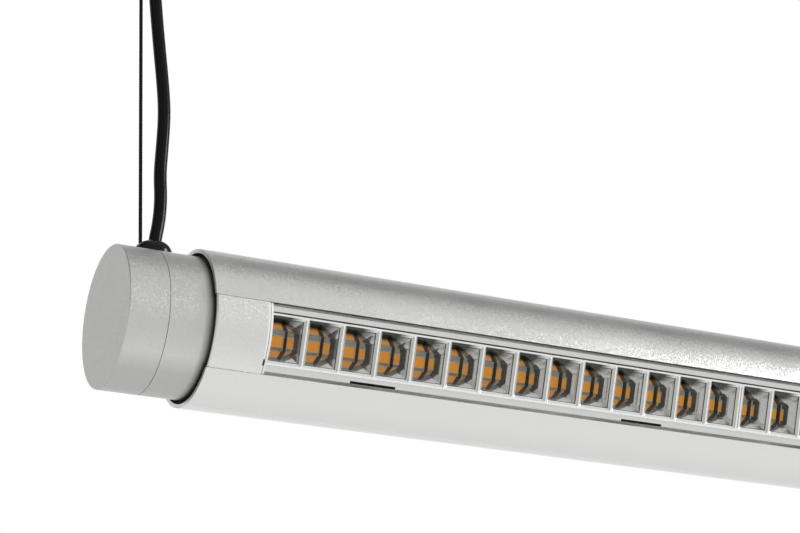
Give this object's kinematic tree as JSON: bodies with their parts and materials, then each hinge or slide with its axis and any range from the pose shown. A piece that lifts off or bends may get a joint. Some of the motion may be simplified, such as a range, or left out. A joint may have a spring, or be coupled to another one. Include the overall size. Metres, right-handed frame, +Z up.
{
  "type": "linear pendant light",
  "caption": "Slotted aluminium tube lamp on fixed end hubs, hung by wires and a cord; the tube turns to aim a row of chromed louvre cells with an LED in each.",
  "frame": {"origin": "On the ceiling plane, at the centre of the rectangle of four ceiling screw holes", "axes": "+X along the tube, away from the end with the power cord; +Z up, out of the ceiling plates; the lit slot looks towards -Y and 24 degrees down in the stored pose"},
  "size_m": [1.1824, 0.07, 0.22],
  "materials": {
    "anodised_aluminium": "satin",
    "bright_aluminium": "satin",
    "metallised_louvre": "polished",
    "led_phosphor": "satin",
    "circuit_board": "matte",
    "black_rubber": "gloss",
    "black_cord": "satin",
    "black_wire": "satin",
    "zinc_steel": "satin",
    "black_steel": "satin",
    "black_acetal": "matte",
    "driver_white": "matte",
    "terminal_white": "matte",
    "brass": "satin"
  },
  "bodies": {
    "ceiling": {"left_ceiling_plate": "zinc_steel", "right_ceiling_plate": "zinc_steel", "left_canopy": "anodised_aluminium", "right_canopy": "anodised_aluminium", "canopy_screws": "black_steel", "left_canopy_grommet": "black_rubber", "right_canopy_grommet": "black_rubber", "left_wire_gripper": "brass", "right_wire_gripper": "brass", "wire_tails": "black_wire", "ceiling_block": "terminal_white", "cord_ceiling_tail": "black_cord"},
    "suspension": {"left_suspension_wire": "black_wire", "right_suspension_wire": "black_wire", "power_cord": "black_cord", "wire_ferrules": "zinc_steel", "left_anchor_bracket": "zinc_steel", "right_anchor_bracket": "zinc_steel", "anchor_screws": "zinc_steel", "left_grommet": "black_rubber", "right_grommet": "black_rubber", "left_end_cap": "anodised_aluminium", "right_end_cap": "anodised_aluminium", "cap_grub_screws": "black_steel", "left_hub": "anodised_aluminium", "right_hub": "anodised_aluminium", "left_retaining_ring": "zinc_steel", "right_retaining_ring": "zinc_steel", "left_friction_washer": "black_acetal", "right_friction_washer": "black_acetal", "cord_tail": "black_cord", "cord_gland": "black_acetal", "gland_screws": "zinc_steel"},
    "lamp_tube": {"tube": "anodised_aluminium", "left_bush": "black_acetal", "right_bush": "black_acetal", "bush_screws": "black_steel", "left_end_panel": "anodised_aluminium", "right_end_panel": "anodised_aluminium", "left_engine_plate": "bright_aluminium", "right_engine_plate": "bright_aluminium", "carrier": "bright_aluminium", "rail_clips": "black_acetal", "led_board_1": "circuit_board", "led_board_2": "circuit_board", "led_board_3": "circuit_board", "led_board_4": "circuit_board", "led_board_5": "circuit_board", "led_chips": "led_phosphor", "board_screws": "zinc_steel", "louvre_1": "metallised_louvre", "louvre_2": "metallised_louvre", "louvre_3": "metallised_louvre", "louvre_4": "metallised_louvre", "louvre_5": "metallised_louvre", "driver_case": "driver_white", "driver_lead": "black_cord", "terminal_block": "terminal_white"}
  },
  "joints": [
    {"name": "swing", "type": "hinge", "parent": "ceiling", "child": "suspension", "pos_m": [0, 0, -0.0215], "axis": [1, 0, 0], "range_deg": [-12, 12]},
    {"name": "turn", "type": "hinge", "parent": "suspension", "child": "lamp_tube", "pos_m": [0, 0, -0.19], "axis": [1, 0, 0], "range_deg": [-104, 236]}
  ]
}
